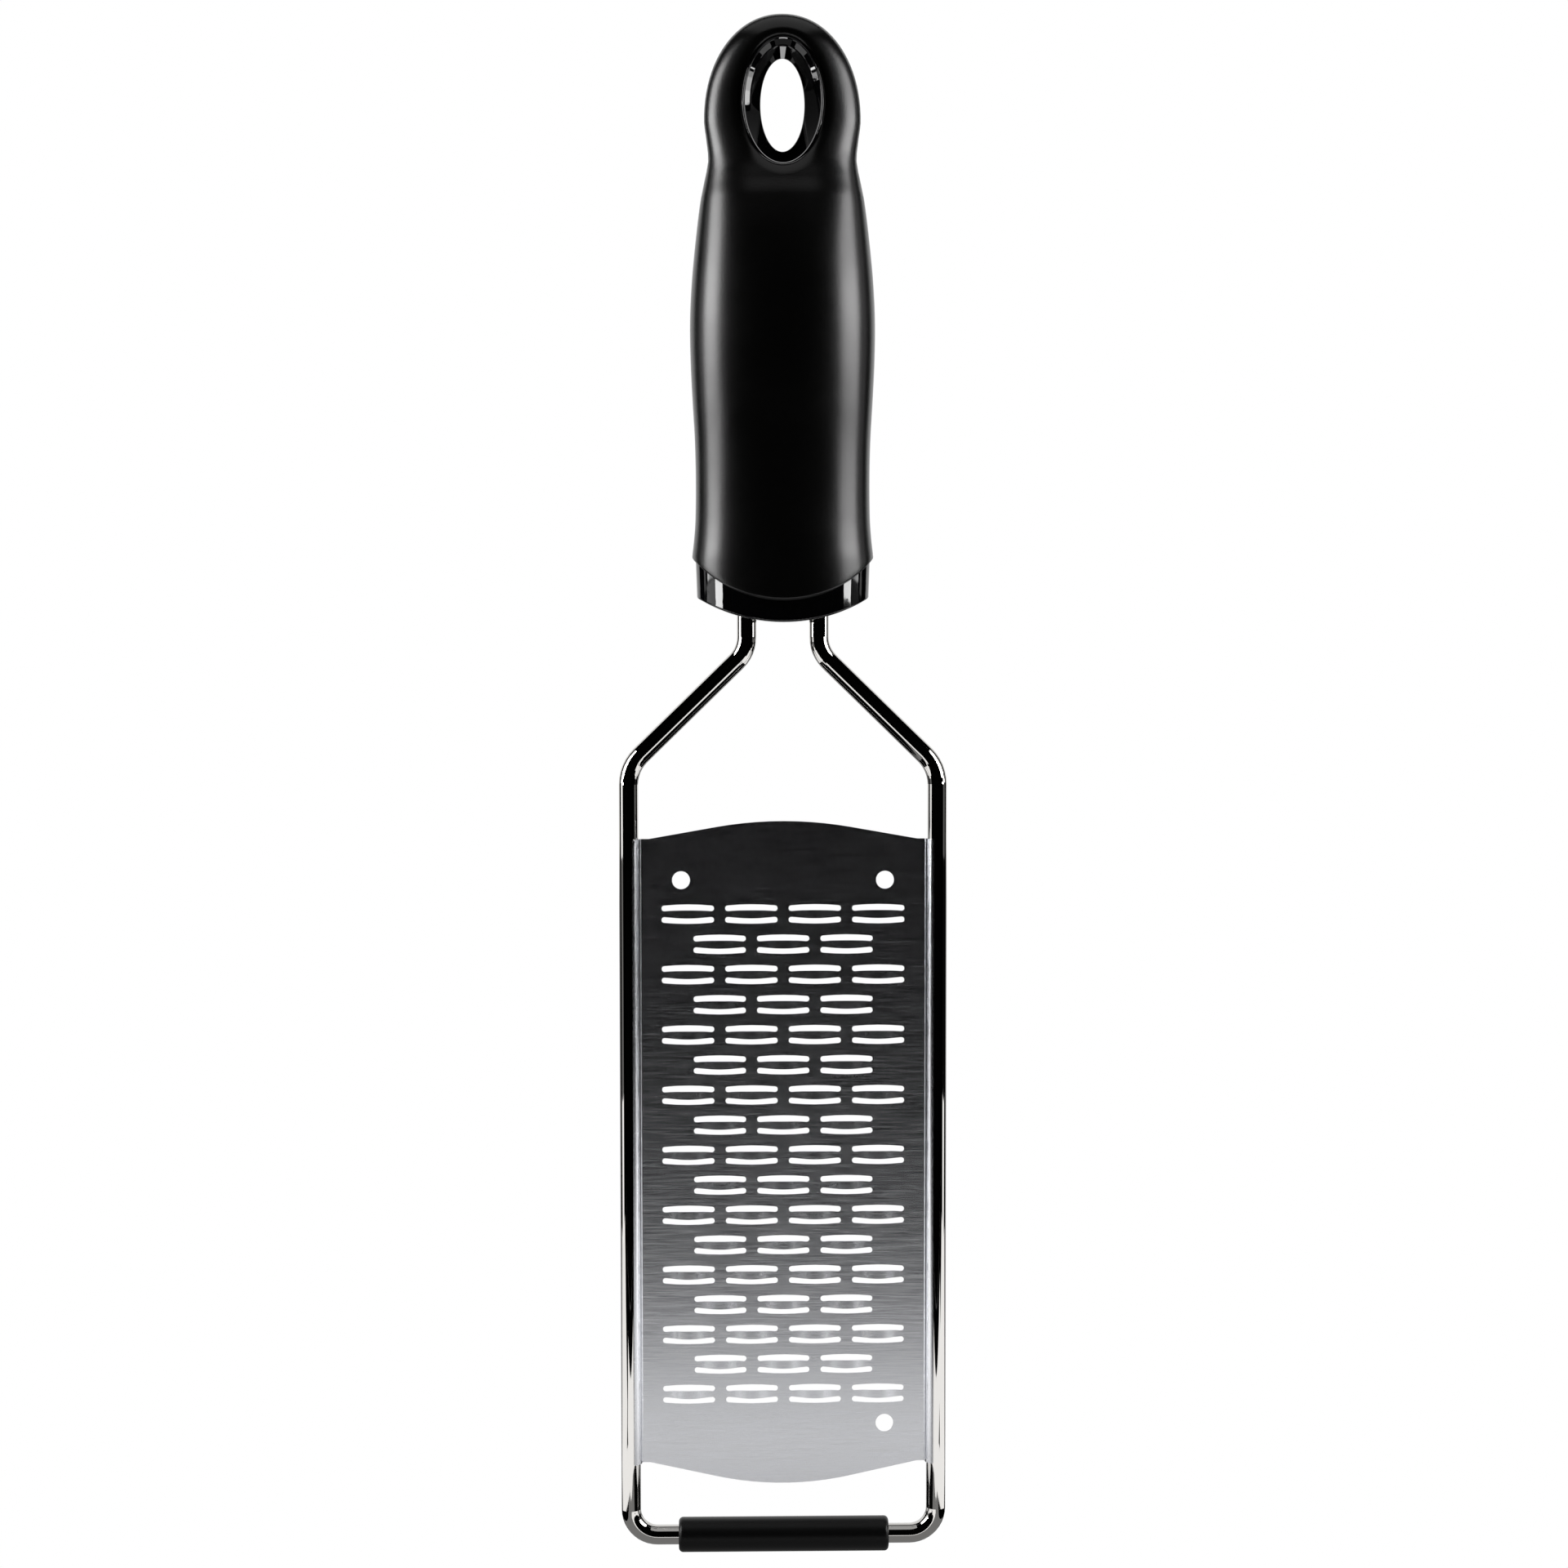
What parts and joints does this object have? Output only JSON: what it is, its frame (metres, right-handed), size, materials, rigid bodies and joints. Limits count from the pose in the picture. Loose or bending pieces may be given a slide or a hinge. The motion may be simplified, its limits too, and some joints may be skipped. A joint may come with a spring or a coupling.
{
  "type": "rasp zester",
  "caption": "Hand-held rasp zester: etched ribbon blade in a bent wire frame, soft-touch handle with an oval hang hole, rubber foot.",
  "frame": {"origin": "centre of the hang hole, on the tool's mid-plane", "axes": "+Z along the tool from the foot to the handle's top, -Y out of the cutting face, +X to the right as seen from the cutting side"},
  "size_m": [0.0674, 0.0252, 0.3159],
  "materials": {
    "etched_stainless": "fine horizontal brushed grain",
    "polished_wire": "polished",
    "core_plastic": "as moulded",
    "gloss_collar": "high gloss",
    "gloss_ring": "high gloss",
    "soft_grip": "soft-touch satin",
    "foot_rubber": "matte"
  },
  "bodies": {
    "root": {"blade": "etched_stainless", "frame_rod": "polished_wire", "handle_core": "core_plastic", "end_collar": "gloss_collar", "hang_ring": "gloss_ring", "soft_grip": "soft_grip", "foot_sleeve": "foot_rubber"}
  },
  "joints": []
}
